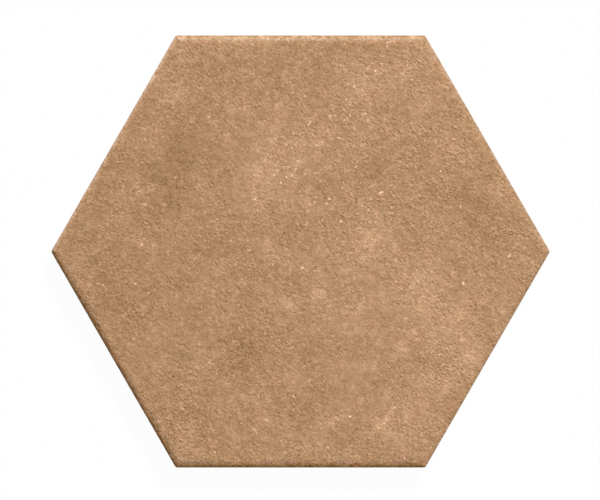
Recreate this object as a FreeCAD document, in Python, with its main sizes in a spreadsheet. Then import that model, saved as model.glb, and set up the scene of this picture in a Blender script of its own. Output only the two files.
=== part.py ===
"""Hexagonal floor tile, dust-pressed and fired in one piece.

The tile lies face up on the XY plane and +Z is up. The origin is the centre of the underside, on the
plane that the ribs of the keyed back share. Two corners lie on the X axis, and two of the six sides
run parallel to it. All sizes are in millimetres.
"""
import FreeCAD, Part
import math
import os
import Sketcher

SIZES = {
    # Outline and thickness
    "across_flats": 220.0,
    "thickness": 9.0,
    # Radius of the corners at the foot. Higher up, the chamfer and the lean add to it
    "corner_radius": 0.2,
    # Edge of the face: a long shallow roll-off, then a small nose down to the upright side
    "cushion_width": 4.6,
    "cushion_drop": 1.1,
    "nose_radius": 0.8,
    # Foot of the side: leans in below a plain upright band, then a chamfer
    "lean_height": 3.2,
    "lean_depth": 0.5,
    "foot_chamfer": 0.8,
    # Keyed back: six-sided cells between ribs, inside a plain border
    "key_pitch": 17.5,
    "key_rib": 2.5,
    "key_depth": 0.8,
    "key_draft": 30.0,
    "key_border": 8.0,
}

SIDES = 6
SIDE_ANGLE = 360.0 / SIDES
# How far the trimmed waste reaches past the tile, where nothing of it is left
OVERCUT = 5.0
# The straight lines round the edge waste, in order down the side and back round to the face
WASTE_LINES = ["band", "lean", "chamfer", "under", "floor", "outside", "roof", "rise"]

# Radius of the cushion arc, from the width and the drop of the roll-off
CUSHION_RADIUS = "((sizes.cushion_width ^ 2 + sizes.cushion_drop ^ 2) / (2 * sizes.cushion_drop))"
# Radius of the corners on the upright band
CORNER_RADIUS = "(sizes.corner_radius + sizes.foot_chamfer + sizes.lean_depth)"
# Straight length of a side between its corners, and how far a corner's centre is from the middle
STRAIGHT_SIDE = f"((sizes.across_flats - 2 * {CORNER_RADIUS}) / sqrt(3))"
# Rings of whole cells that fit round the middle one, inside the plain border
RINGS = ("max(1; floor((sizes.across_flats / 2 - sizes.lean_depth - sizes.foot_chamfer"
         " - sizes.key_border - (sizes.key_pitch - sizes.key_rib) / sqrt(3))"
         " / (sizes.key_pitch * sqrt(3) / 2)))")


def make_sheet(doc):
    """The sheet of driving sizes, one alias for each."""
    sheet = doc.addObject("Spreadsheet::Sheet", "sizes")
    for row, (name, value) in enumerate(SIZES.items(), start=1):
        cell = f"A{row}"
        sheet.set(cell, str(value))
        sheet.setAlias(cell, name)
    doc.recompute()
    return sheet


def origin_feature(body, role):
    """One of the body's own base planes or axes."""
    return next(f for f in body.Origin.OriginFeatures if f.Role == role)


def sketch_on(body, name, plane):
    """An empty sketch of the body, attached to one of its base planes."""
    sketch = body.newObject("Sketcher::SketchObject", name)
    sketch.AttachmentSupport = [(origin_feature(body, plane), "")]
    sketch.MapMode = "FlatFace"
    return sketch


def worth(owner, expression):
    """What an expression over the sheet's sizes comes to."""
    return float(owner.evalExpression(expression))


def bind(sketch, name, expression, *constraint):
    """Adds a dimension to the sketch, names it and ties it to the sheet."""
    index = sketch.addConstraint(Sketcher.Constraint(*constraint, worth(sketch, expression)))
    sketch.renameConstraint(index, name)
    sketch.setExpression(f"Constraints.{name}", expression)


def draw_hexagon(sketch, centre, across, first_corner):
    """Draws a regular hexagon about centre, its corners on a construction circle.

    Returns the index of the circle. The sides are geometry 0 to 5, and side n starts at the corner
    that lies at first_corner + n * 60 degrees.
    """
    radius = across / math.sqrt(3)
    angles = [math.radians(first_corner + n * SIDE_ANGLE) for n in range(SIDES)]
    corners = [centre + FreeCAD.Vector(radius * math.cos(a), radius * math.sin(a), 0) for a in angles]
    for n in range(SIDES):
        sketch.addGeometry(Part.LineSegment(corners[n], corners[(n + 1) % SIDES]), False)
    circle = sketch.addGeometry(Part.Circle(centre, FreeCAD.Vector(0, 0, 1), radius), True)
    for n in range(SIDES):
        sketch.addConstraint(Sketcher.Constraint("Coincident", n, 2, (n + 1) % SIDES, 1))
        sketch.addConstraint(Sketcher.Constraint("PointOnObject", n, 1, circle))
    for n in range(1, SIDES):
        sketch.addConstraint(Sketcher.Constraint("Equal", 0, n))
    return circle


def press_blank(body):
    """The slug of pressed clay: a hexagonal prism, a little oversize until its edges are cut."""
    outline = sketch_on(body, "outline", "XY_Plane")
    across = f"sizes.across_flats + {2 * OVERCUT}"
    circle = draw_hexagon(outline, FreeCAD.Vector(0, 0, 0), worth(outline, across), 0.0)
    outline.addConstraint(Sketcher.Constraint("Coincident", circle, 3, -1, 1))
    outline.addConstraint(Sketcher.Constraint("Horizontal", 1))
    bind(outline, "across", across, "DistanceY", 4, 1, 1, 1)
    blank = body.newObject("PartDesign::Pad", "blank")
    blank.Profile = outline
    blank.setExpression("Length", "sizes.thickness")


def draw_edge_waste(sketch, size, band_place, reach):
    """Draws what the die leaves off at the edge, with outwards across and Z up.

    From the face down, the waste is bounded by the cushion arc, the nose arc, the upright band, the
    lean and the foot chamfer. The band lies at band_place from the sketch's upright axis, and the
    waste reaches in from the band by reach. Returns the index of each curve by name.
    """
    band_x = worth(sketch, band_place)
    inward = worth(sketch, reach)
    cushion = worth(sketch, CUSHION_RADIUS)
    nose = size.nose_radius
    top = size.thickness
    # The nose touches the cushion arc from inside and the upright band, so its centre is worked out
    nose_offset = size.cushion_width - nose
    nose_rise = math.sqrt((cushion - nose) ** 2 - nose_offset ** 2)
    meeting = math.atan2(nose_rise, nose_offset)
    inner_end = math.acos((size.cushion_width - inward) / cushion)
    crest = FreeCAD.Vector(band_x - size.cushion_width, top, 0)
    cushion_centre = crest - FreeCAD.Vector(0, cushion, 0)
    nose_centre = cushion_centre + FreeCAD.Vector(nose_offset, nose_rise, 0)

    face_end = FreeCAD.Vector(band_x - inward, cushion_centre.y + cushion * math.sin(inner_end), 0)
    band_top = FreeCAD.Vector(band_x, nose_centre.y, 0)
    band_foot = FreeCAD.Vector(band_x, size.lean_height, 0)
    lean_foot = FreeCAD.Vector(band_x - size.lean_depth, size.foot_chamfer, 0)
    base_edge = FreeCAD.Vector(lean_foot.x - size.foot_chamfer, 0, 0)
    below = FreeCAD.Vector(base_edge.x, -OVERCUT, 0)
    outer_foot = FreeCAD.Vector(band_x + 2 * OVERCUT, -OVERCUT, 0)
    outer_head = FreeCAD.Vector(outer_foot.x, top + OVERCUT, 0)
    above = FreeCAD.Vector(face_end.x, top + OVERCUT, 0)

    axis = FreeCAD.Vector(0, 0, 1)
    drawn = {
        "cushion": Part.ArcOfCircle(Part.Circle(cushion_centre, axis, cushion), meeting, inner_end),
        "nose": Part.ArcOfCircle(Part.Circle(nose_centre, axis, nose), 0, meeting),
    }
    chain = [band_top, band_foot, lean_foot, base_edge, below, outer_foot, outer_head, above, face_end]
    for name, start, end in zip(WASTE_LINES, chain, chain[1:]):
        drawn[name] = Part.LineSegment(start, end)
    line = {name: sketch.addGeometry(curve, False) for name, curve in drawn.items()}
    # The crest is where the cushion arc is level with the face
    line["crest"] = sketch.addGeometry(Part.Point(crest), True)
    return line


def join_edge_waste(sketch, line):
    """Closes the outline of the waste, keeps its lines square, and sets how far it overshoots."""
    # Each arc runs anticlockwise, so the cushion starts where the nose ends
    joints = [
        ("Tangent", line["cushion"], 1, line["nose"], 2),
        ("Tangent", line["nose"], 1, line["band"], 1),
        ("Coincident", line["rise"], 2, line["cushion"], 2),
        ("PointOnObject", line["crest"], 1, line["cushion"]),
        ("Vertical", line["crest"], 1, line["cushion"], 3),
        ("PointOnObject", line["chamfer"], 2, -1),
        ("DistanceY", line["under"], 2, -1, 1, OVERCUT),
        ("DistanceX", line["band"], 1, line["outside"], 1, 2 * OVERCUT),
        ("DistanceY", line["crest"], 1, line["roof"], 1, OVERCUT),
    ]
    joints += [("Coincident", line[before], 2, line[after], 1)
               for before, after in zip(WASTE_LINES, WASTE_LINES[1:])]
    joints += [("Vertical", line[name]) for name in ("band", "under", "outside", "rise")]
    joints += [("Horizontal", line[name]) for name in ("floor", "roof")]
    for joint in joints:
        sketch.addConstraint(Sketcher.Constraint(*joint))


def size_edge_waste(sketch, line, band_place, reach):
    """Ties the place of the waste and each size of its section to the sheet."""
    band, cushion, lean, chamfer = line["band"], line["cushion"], line["lean"], line["chamfer"]
    bind(sketch, "band_place", band_place, "DistanceX", -1, 1, band, 1)
    bind(sketch, "reach", reach, "DistanceX", line["rise"], 2, band, 1)
    bind(sketch, "face_height", "sizes.thickness", "DistanceY", -1, 1, line["crest"], 1)
    bind(sketch, "cushion_width", "sizes.cushion_width", "DistanceX", line["crest"], 1, band, 1)
    bind(sketch, "cushion_radius", CUSHION_RADIUS, "Radius", cushion)
    bind(sketch, "nose_radius", "sizes.nose_radius", "Radius", line["nose"])
    bind(sketch, "lean_height", "sizes.lean_height", "DistanceY", -1, 1, band, 2)
    bind(sketch, "lean_depth", "sizes.lean_depth", "DistanceX", lean, 2, band, 2)
    bind(sketch, "chamfer_height", "sizes.foot_chamfer", "DistanceY", -1, 1, lean, 2)
    bind(sketch, "chamfer_width", "sizes.foot_chamfer", "DistanceX", chamfer, 2, lean, 2)


def edge_waste(body, size, name, plane, band_place, reach):
    """The closed sketch of the edge waste, on one of the upright base planes."""
    sketch = sketch_on(body, name, plane)
    line = draw_edge_waste(sketch, size, band_place, reach)
    join_edge_waste(sketch, line)
    size_edge_waste(sketch, line, band_place, reach)
    return sketch, line


def cut_side(body, size):
    """Cuts the edge section along the straight part of the +Y side."""
    section, _ = edge_waste(body, size, "side_section", "YZ_Plane",
                            "sizes.across_flats / 2", "sizes.cushion_width")
    cut = body.newObject("PartDesign::Pocket", "side_cut")
    cut.Profile = section
    cut.SideType = "Symmetric"
    cut.setExpression("Length", STRAIGHT_SIDE)
    return cut


def cut_corner(body, size):
    """Turns the same section round the +X corner's centre, from one side's end to the next one's."""
    section, line = edge_waste(body, size, "corner_section", "XZ_Plane",
                               f"{STRAIGHT_SIDE} + {CORNER_RADIUS}", CORNER_RADIUS)
    foot = FreeCAD.Vector(worth(section, STRAIGHT_SIDE), 0, 0)
    axis = section.addGeometry(Part.LineSegment(foot, foot + FreeCAD.Vector(0, OVERCUT, 0)), True)
    section.addConstraint(Sketcher.Constraint("Vertical", axis))
    section.addConstraint(Sketcher.Constraint("PointOnObject", axis, 1, -1))
    section.addConstraint(Sketcher.Constraint("PointOnObject", line["rise"], 1, axis))
    section.addConstraint(Sketcher.Constraint("Distance", axis, OVERCUT))
    cut = body.newObject("PartDesign::Groove", "corner_cut")
    cut.Profile = section
    cut.ReferenceAxis = (section, ["Axis0"])
    cut.Angle = SIDE_ANGLE
    cut.Midplane = True
    return cut


def cut_edges(body, size):
    """Cuts one side and one corner, then repeats the two cuts round the tile."""
    cuts = [cut_side(body, size), cut_corner(body, size)]
    body.Document.recompute()
    around = body.newObject("PartDesign::PolarPattern", "edge_all_round")
    around.Originals = cuts
    around.Axis = (origin_feature(body, "Z_Axis"), [""])
    around.Angle = 360
    around.Occurrences = SIDES
    body.Tip = around
    body.Document.recompute()


def key_pocket(body, name, sketch):
    """One cell of the keyed back, pressed up into the underside, its walls drafted."""
    pocket = body.newObject("PartDesign::Pocket", name)
    pocket.Profile = sketch
    pocket.Reversed = True
    pocket.setExpression("Length", "sizes.key_depth")
    pocket.setExpression("TaperAngle", "-sizes.key_draft")
    return pocket


def row_of_cells(body, name, sketch, direction, count):
    """A row of cells one pitch apart, along an axis or construction line of the cell's sketch."""
    row = body.newObject("PartDesign::LinearPattern", name)
    row.Direction = (sketch, [direction])
    row.Mode = "Spacing"
    row.setExpression("Offset", "sizes.key_pitch")
    row.setExpression("Occurrences", count)
    return row


def cell_sketch_at(body, name, distance):
    """Sketch of one cell, two of its corners up and down, centred on the X axis that far out."""
    sketch = sketch_on(body, name, "XY_Plane")
    across = "sizes.key_pitch - sizes.key_rib"
    centre = FreeCAD.Vector(distance, 0, 0)
    circle = draw_hexagon(sketch, centre, worth(sketch, across), SIDE_ANGLE / 2)
    sketch.addConstraint(Sketcher.Constraint("Vertical", 2))
    bind(sketch, "across", across, "DistanceX", 2, 1, 5, 1)
    return sketch, circle


def press_back(body, size):
    """Presses the keyed back: a middle cell, then rings of whole cells as far as the plain border.

    The rings are three rhombi of cells, each with one side along a corner direction and the other
    120 degrees further round, so that the three of them close up round the middle cell.
    """
    middle, circle = cell_sketch_at(body, "middle_cell", 0)
    middle.addConstraint(Sketcher.Constraint("Coincident", circle, 3, -1, 1))
    key_pocket(body, "middle_key", middle)

    first, circle = cell_sketch_at(body, "first_ring_cell", size.key_pitch)
    first.addConstraint(Sketcher.Constraint("PointOnObject", circle, 3, -1))
    bind(first, "pitch", "sizes.key_pitch", "DistanceX", -1, 1, circle, 3)
    # A construction line along the rhombus's other side, one pitch long
    centre = FreeCAD.Vector(size.key_pitch, 0, 0)
    turn = math.radians(2 * SIDE_ANGLE)
    onward_end = centre + FreeCAD.Vector(math.cos(turn), math.sin(turn), 0) * size.key_pitch
    onward_line = first.addGeometry(Part.LineSegment(centre, onward_end), True)
    first.addConstraint(Sketcher.Constraint("Coincident", onward_line, 1, circle, 3))
    first.addConstraint(Sketcher.Constraint("Angle", onward_line, turn))
    bind(first, "next_cell", "sizes.key_pitch", "Distance", onward_line)
    ring_key = key_pocket(body, "ring_key", first)
    body.Document.recompute()

    rings = body.newObject("PartDesign::MultiTransform", "key_rings")
    # The cells share no face, so nothing has to be merged
    rings.Refine = False
    rings.Originals = [ring_key]
    outward = row_of_cells(body, "outward", first, "H_Axis", RINGS)
    onward = row_of_cells(body, "onward", first, "Axis0", f"{RINGS} + 1")
    rhombi = body.newObject("PartDesign::PolarPattern", "three_rhombi")
    rhombi.Axis = (origin_feature(body, "Z_Axis"), [""])
    rhombi.Angle = 360
    rhombi.Occurrences = 3
    rings.Transformations = [outward, onward, rhombi]
    body.Tip = rings


def check(doc, bodies):
    """Stops if any object of the document failed, or if a body is not one whole solid."""
    failed = [o.Name for o in doc.Objects if {"Invalid", "Error"} & set(o.State)]
    if failed:
        raise RuntimeError(f"these objects failed: {failed}")
    for body in bodies:
        shape = body.Shape
        if shape.isNull() or not shape.isValid() or len(shape.Solids) != 1:
            raise RuntimeError(f"{body.Label} is not one valid solid")


def main():
    doc = FreeCAD.newDocument("hexagon_floor_tile")
    size = make_sheet(doc)
    tile = doc.addObject("PartDesign::Body", "hexagon_tile")
    press_blank(tile)
    cut_edges(tile, size)
    press_back(tile, size)
    doc.recompute()
    check(doc, [tile])

    os.makedirs("parts", exist_ok=True)
    for body in [tile]:
        body.Shape.exportStep(f"parts/{body.Label}.step")
        print(f"{body.Label}: {body.Shape.Volume / 1000:.1f} cm3, {len(body.Shape.Faces)} faces")
    return doc


if __name__ == "__main__":
    main()
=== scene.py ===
"""A fired hexagonal floor tile, face up on a pale studio floor, seen from straight above.

The tile is one closed mesh, worked out from its edge section, the random grain of its face and its
keyed back. All lengths are in metres, +Z is up, and the origin is the centre of the underside.
"""

import logging
import math
from dataclasses import dataclass, field
from enum import Enum

import bpy
import numpy as np
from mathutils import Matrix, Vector

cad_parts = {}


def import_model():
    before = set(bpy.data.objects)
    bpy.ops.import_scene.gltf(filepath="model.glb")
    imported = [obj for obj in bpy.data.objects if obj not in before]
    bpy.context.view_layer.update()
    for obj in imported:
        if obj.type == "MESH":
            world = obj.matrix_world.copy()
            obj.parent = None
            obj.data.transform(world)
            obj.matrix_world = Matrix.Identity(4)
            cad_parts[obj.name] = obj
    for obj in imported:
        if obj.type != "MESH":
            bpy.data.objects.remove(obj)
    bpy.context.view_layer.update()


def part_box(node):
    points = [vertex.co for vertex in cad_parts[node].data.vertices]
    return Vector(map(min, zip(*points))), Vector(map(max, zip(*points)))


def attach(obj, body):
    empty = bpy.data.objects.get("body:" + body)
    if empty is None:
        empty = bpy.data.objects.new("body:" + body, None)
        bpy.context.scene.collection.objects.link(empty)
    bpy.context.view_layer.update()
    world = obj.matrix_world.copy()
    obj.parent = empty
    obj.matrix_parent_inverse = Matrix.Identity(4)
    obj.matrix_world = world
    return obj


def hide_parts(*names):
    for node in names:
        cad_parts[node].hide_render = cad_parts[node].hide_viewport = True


LOG = logging.getLogger("hexagon_tile")

MM = 0.001
SIDES = 6
SECTOR = math.tau / SIDES
CAD_NODE = "hexagon_tile"

# The grain of the pressed face is a little longer along this bearing than across it
GRAIN_BEARING = math.radians(126)
GRAIN_STRETCH = 1.12

# How the photograph maps onto the tile: its frame, the tile's middle in it, and its scale
PHOTO_WIDTH_PX = 600
PHOTO_HEIGHT_PX = 500
TILE_CENTRE_PX = (300.5, 251.5)
METRES_PER_PX = 0.509 * MM

Array = np.ndarray
Rgb = tuple[float, float, float]
Rgba = tuple[float, float, float, float]
Socket = bpy.types.NodeSocket
Source = Socket | float | tuple[float, ...]


class Layer(Enum):
    """A value that the mesh carries at each of its points, for its material to read."""

    TONE = "tone"
    # The painted hue of rim light and shade: brown on shaded rims, ashy on lit ones
    PAINTED_RIM_HUE = "painted_rim_hue"
    SPECKS = "specks"
    GRAINS = "lone_grains"
    ALONG = "along_grain"
    ACROSS = "across_grain"
    COARSE = "coarseness"
    BARE = "bare_body"
    WASH = "kiln_wash"


def from_photo(px: float, py: float) -> tuple[float, float]:
    """Where a point of the photograph lies on the tile.

    Args:
        px: Pixels from the photograph's left edge.
        py: Pixels from its top edge.

    Returns:
        X and Y on the tile, in metres.
    """
    return ((px - TILE_CENTRE_PX[0]) * METRES_PER_PX, (TILE_CENTRE_PX[1] - py) * METRES_PER_PX)


def smooth_step(low: float, high: float, value: Array) -> Array:
    """Rises from 0 at low to 1 at high as 3t^2 - 2t^3.

    Args:
        low: Where the rise starts.
        high: Where it ends.
        value: The values to weigh.

    Returns:
        The weights, one for each value.
    """
    t = np.clip((value - low) / (high - low), 0.0, 1.0)
    return t * t * (3.0 - 2.0 * t)


def linear(level: float) -> float:
    """The linear value of an 8-bit sRGB level, by the sRGB curve."""
    share = level / 255.0
    return share / 12.92 if share <= 0.04045 else ((share + 0.055) / 1.055) ** 2.4


def linear_rgba(red: float, green: float, blue: float) -> Rgba:
    """The linear colour of three 8-bit sRGB levels, opaque."""
    return (linear(red), linear(green), linear(blue), 1.0)


@dataclass(frozen=True)
class Blot:
    """A soft round patch on the face, placed by the pixel of the photograph at its middle."""

    px: float
    py: float
    radius_px: float
    strength: float

    def weight(self, x: Array, y: Array) -> Array:
        """Strength times exp(-(distance / radius)^2).

        Args:
            x: X of each point, in metres.
            y: Y of each point, in metres.

        Returns:
            The patch's share at each point.
        """
        centre_x, centre_y = from_photo(self.px, self.py)
        radius = self.radius_px * METRES_PER_PX
        return self.strength * np.exp(-((x - centre_x) ** 2 + (y - centre_y) ** 2) / radius ** 2)


def total(blots: tuple[Blot, ...], x: Array, y: Array) -> Array:
    """The sum of some patches at given points.

    Args:
        blots: The patches.
        x: X of each point, in metres.
        y: Y of each point, in metres.

    Returns:
        The sum at each point.
    """
    return sum((blot.weight(x, y) for blot in blots), np.zeros_like(x))


@dataclass(frozen=True)
class RandomField:
    """A smooth random pattern over the plane, of mean 0 and standard deviation 1.

    White noise on a square grid is filtered in its spectrum. What is kept at a wavelength w is
    w * exp(-(ln(w / wavelength) / spread)^2 / 2), so that the variance in each octave is a bell about
    the wavelength. Features are longer by the stretch along its bearing, and shorter by it across.
    The grid repeats past its sides, which lie beyond the tile.
    """

    wavelength: float
    spread: float
    seed: int
    stretch: float = 1.0
    bearing: float = GRAIN_BEARING
    side: float = 300 * MM
    cells: int = 1200

    def grid(self) -> Array:
        """The pattern on its square grid.

        Returns:
            The values, rows along Y and columns along X.
        """
        noise = np.random.default_rng(self.seed).standard_normal((self.cells, self.cells))
        step = self.side / self.cells
        up, right = np.fft.fftfreq(self.cells, step)[:, None], np.fft.rfftfreq(self.cells, step)[None, :]
        along = right * math.cos(self.bearing) + up * math.sin(self.bearing)
        across = up * math.cos(self.bearing) - right * math.sin(self.bearing)
        frequency = np.hypot(along * self.stretch, across / self.stretch)
        frequency[0, 0] = np.inf
        octave = np.log(np.where(np.isinf(frequency), 1.0, frequency) * self.wavelength)
        kept = np.exp(-0.5 * (octave / self.spread) ** 2) / frequency
        pattern = np.fft.irfft2(np.fft.rfft2(noise) * kept, s=noise.shape)
        return (pattern - pattern.mean()) / pattern.std()

    def sample(self, x: Array, y: Array) -> Array:
        """The pattern at given points, read between the grid's cells by bilinear weights.

        Args:
            x: X of each point, in metres.
            y: Y of each point, in metres.

        Returns:
            The value at each point.
        """
        grid = self.grid()
        column = (x / self.side + 0.5) * self.cells
        row = (y / self.side + 0.5) * self.cells
        c0, r0 = np.floor(column).astype(int), np.floor(row).astype(int)
        u, v = column - c0, row - r0
        c0, c1 = c0 % self.cells, (c0 + 1) % self.cells
        r0, r1 = r0 % self.cells, (r0 + 1) % self.cells
        near = grid[r0, c0] * (1 - u) + grid[r0, c1] * u
        far = grid[r1, c0] * (1 - u) + grid[r1, c1] * u
        return near * (1 - v) + far * v


@dataclass
class Surface:
    """Points, triangles and values at the points, gathered block by block."""

    points: list[Array] = field(default_factory=list)
    triangles: list[Array] = field(default_factory=list)
    values: dict[Layer, list[Array]] = field(default_factory=dict)
    count: int = 0

    def add_points(self, points: Array, values: dict[Layer, Array | float]) -> Array:
        """Adds a block of points.

        Args:
            points: Their places, with shape (..., 3).
            values: For some layers, one value for each point or for all. The others are 0.

        Returns:
            The points' indices, in the block's own shape.
        """
        flat = points.reshape(-1, 3)
        indices = np.arange(self.count, self.count + len(flat)).reshape(points.shape[:-1])
        self.count += len(flat)
        self.points.append(flat)
        for layer in Layer:
            block = np.broadcast_to(values.get(layer, 0.0), indices.shape)
            self.values.setdefault(layer, []).append(block.reshape(-1))
        return indices

    def zip_loops(self, before: Array, after: Array, before_at: Array, after_at: Array) -> None:
        """Joins two closed loops by a strip of triangles.

        The points of both loops are taken in the order of their place round the loop. Each step goes
        on to the next of them, and makes one triangle with the last point passed on either loop. A
        first loop of one point is joined by a fan.

        Args:
            before: Indices of the loop that comes first along the surface.
            after: Indices of the next loop.
            before_at: Each point's place round the first loop, from 0 up to 1.
            after_at: The same for the next loop.
        """
        if len(before) == 1:
            middle = np.broadcast_to(before, after.shape)
            self.triangles.append(np.stack([middle, after, np.roll(after, -1)], axis=1))
            return
        place = np.concatenate([before_at, after_at])
        on_after = np.concatenate([np.zeros(len(before), int), np.ones(len(after), int)])
        order = np.lexsort((on_after, place))
        step_after = on_after[order]
        passed_after = np.cumsum(step_after)
        passed_before = np.cumsum(1 - step_after)
        # The point reached by each step, and the last one passed on each loop before it
        b_old = before[(passed_before - (1 - step_after) - 1) % len(before)]
        a_old = after[(passed_after - step_after - 1) % len(after)]
        b_new = before[(passed_before - 1) % len(before)]
        a_new = after[(passed_after - 1) % len(after)]
        reached = np.where(step_after == 1, a_new, b_new)
        self.triangles.append(np.stack([b_old, a_old, reached], axis=1))

    def zip_rings(self, rings: list[Array]) -> None:
        """Joins loops whose points are evenly numbered from the same bearing, each to the next."""
        for before, after in zip(rings, rings[1:]):
            self.zip_loops(before, after, np.arange(len(before)) / len(before),
                           np.arange(len(after)) / len(after))

    def to_object(self, name: str) -> bpy.types.Object:
        """The finished mesh as an object in the scene, with its attributes.

        Args:
            name: The name of the object and of its mesh.

        Returns:
            The object, at the origin.
        """
        points = np.concatenate(self.points).astype(np.float32)
        triangles = np.concatenate(self.triangles).astype(np.int32)
        mesh = bpy.data.meshes.new(name)
        mesh.vertices.add(len(points))
        mesh.vertices.foreach_set("co", points.ravel())
        mesh.loops.add(triangles.size)
        mesh.loops.foreach_set("vertex_index", triangles.ravel())
        mesh.polygons.add(len(triangles))
        mesh.polygons.foreach_set("loop_start", np.arange(0, triangles.size, 3, dtype=np.int32))
        mesh.update(calc_edges=True)
        for layer, blocks in self.values.items():
            attribute = mesh.attributes.new(layer.value, "FLOAT", "POINT")
            attribute.data.foreach_set("value", np.concatenate(blocks).astype(np.float32))
        mesh.validate()
        obj = bpy.data.objects.new(name, mesh)
        bpy.context.scene.collection.objects.link(obj)
        return obj


def rounded_chain(points: list[tuple[float, float]], rounding: float, steps: int) -> Array:
    """A chain of straight runs with its inner corners rounded.

    Each corner P between A and B becomes the curve (1-t)^2 P1 + 2t(1-t) P + t^2 P2, where P1 and P2
    lie on the runs, rounding away from P, or half the run if that is shorter.

    Args:
        points: The chain's points.
        rounding: How far from the corner the curve starts and ends.
        steps: How many points the curve has.

    Returns:
        The rounded chain, with shape (n, 2).
    """
    chain = np.array(points)
    out = [chain[:1]]
    t = np.linspace(0, 1, steps)[:, None]
    for a, p, b in zip(chain, chain[1:], chain[2:]):
        back, on = a - p, b - p
        p1 = p + back * min(rounding / np.hypot(*back), 0.5)
        p2 = p + on * min(rounding / np.hypot(*on), 0.5)
        out.append((1 - t) ** 2 * p1 + 2 * t * (1 - t) * p + t ** 2 * p2)
    out.append(chain[-1:])
    return np.concatenate(out)


@dataclass(frozen=True)
class EdgeSection:
    """The section of the tile's edge, from the level face down to the foot."""

    thickness: float
    cushion_width: float = 4.6 * MM
    cushion_drop: float = 1.1 * MM
    nose_radius: float = 0.8 * MM
    lean_height: float = 3.2 * MM
    lean_depth: float = 0.5 * MM
    foot_chamfer: float = 0.8 * MM
    arris: float = 0.16 * MM
    arris_steps: int = 4
    cushion_steps: int = 7
    nose_steps: int = 5
    band_steps: int = 5

    def path(self) -> Array:
        """The section as inset from the outline and height.

        The cushion is an arc through the face's end, level there, with radius (w^2 + d^2) / 2d for a
        width w and a drop d. The nose is a smaller arc that touches it from inside and touches the
        upright band. Below come the band, the lean and the chamfer, whose arrises are rounded.

        Returns:
            Points with shape (n, 2), from the end of the level face to the foot.
        """
        width, drop, nose = self.cushion_width, self.cushion_drop, self.nose_radius
        cushion = (width ** 2 + drop ** 2) / (2 * drop)
        offset = width - nose
        rise = math.sqrt((cushion - nose) ** 2 - offset ** 2)
        meeting = math.atan2(rise, offset)
        a = np.linspace(math.pi / 2, meeting, self.cushion_steps + 1)
        roll = np.stack([width - cushion * np.cos(a), self.thickness - cushion * (1 - np.sin(a))], axis=1)
        b = np.linspace(meeting, 0, self.nose_steps + 1)[1:]
        nose_height = self.thickness - cushion + rise
        tip = np.stack([nose - nose * np.cos(b), nose_height + nose * np.sin(b)], axis=1)
        share = np.linspace(0, 1, self.band_steps + 1)[1:]
        band = np.stack([0 * share, nose_height + (self.lean_height - nose_height) * share], axis=1)
        foot = rounded_chain([(0.0, self.lean_height), (self.lean_depth, self.foot_chamfer),
                              (self.lean_depth + self.foot_chamfer, 0.0),
                              (self.lean_depth + 2 * self.foot_chamfer, 0.0)],
                             self.arris, self.arris_steps)
        return np.concatenate([roll, tip, band, foot[1:-1]])


@dataclass(frozen=True)
class HexOutline:
    """The tile's outline in plan and what lies parallel to it, as rings of points."""

    apothem: float
    corner_radius: float = 1.5 * MM
    least_radius: float = 0.12 * MM
    per_side: int = 150
    arc_steps: int = 4

    def even_ring(self, inset: float, per_side: int) -> Array:
        """A ring with sharp corners and even steps: each side is lerp(corner, next corner, i / n).

        Args:
            inset: Distance inwards from the outline.
            per_side: Steps on each side.

        Returns:
            X and Y with shape (6 n, 2), from the corner on +X round to it.
        """
        reach = (self.apothem - inset) / math.cos(SECTOR / 2)
        corner = SECTOR * np.arange(SIDES)[:, None]
        t = np.arange(per_side)[None, :] / per_side
        start = reach * np.stack([np.cos(corner), np.sin(corner)], axis=-1)
        end = np.roll(start, -1, axis=0)
        return (start * (1 - t[..., None]) + end * t[..., None]).reshape(-1, 2)

    def bearing(self) -> Array:
        """The outward bearing at each point of a full ring.

        It turns by 30 degrees over the first and last arc steps of each side, and holds between.

        Returns:
            Angles with shape (6 n,).
        """
        i = np.arange(self.per_side)
        q = self.arc_steps
        turn = np.clip(i / q, 0, 1) + np.clip((i - (self.per_side - q)) / q, 0, 1)
        return (SECTOR * np.arange(SIDES)[:, None] + SECTOR / 2 * turn[None, :]).reshape(-1)

    def round_ring(self, inset: float) -> Array:
        """A ring with rounded corners: a point on the line of corner centres plus radius * outwards.

        Args:
            inset: Distance inwards from the outline.

        Returns:
            X and Y with shape (6 n, 2), from the corner on +X round to it.
        """
        radius = max(self.corner_radius - inset, self.least_radius)
        reach = (self.apothem - inset - radius) / math.cos(SECTOR / 2)
        q = self.arc_steps
        t = np.clip((np.arange(self.per_side) - q) / (self.per_side - 2 * q), 0, 1)[None, :, None]
        corner = SECTOR * np.arange(SIDES)[:, None]
        start = reach * np.stack([np.cos(corner), np.sin(corner)], axis=-1)
        centres = start * (1 - t) + np.roll(start, -1, axis=0) * t
        angle = self.bearing()
        return centres.reshape(-1, 2) + radius * np.stack([np.cos(angle), np.sin(angle)], axis=-1)


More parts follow.
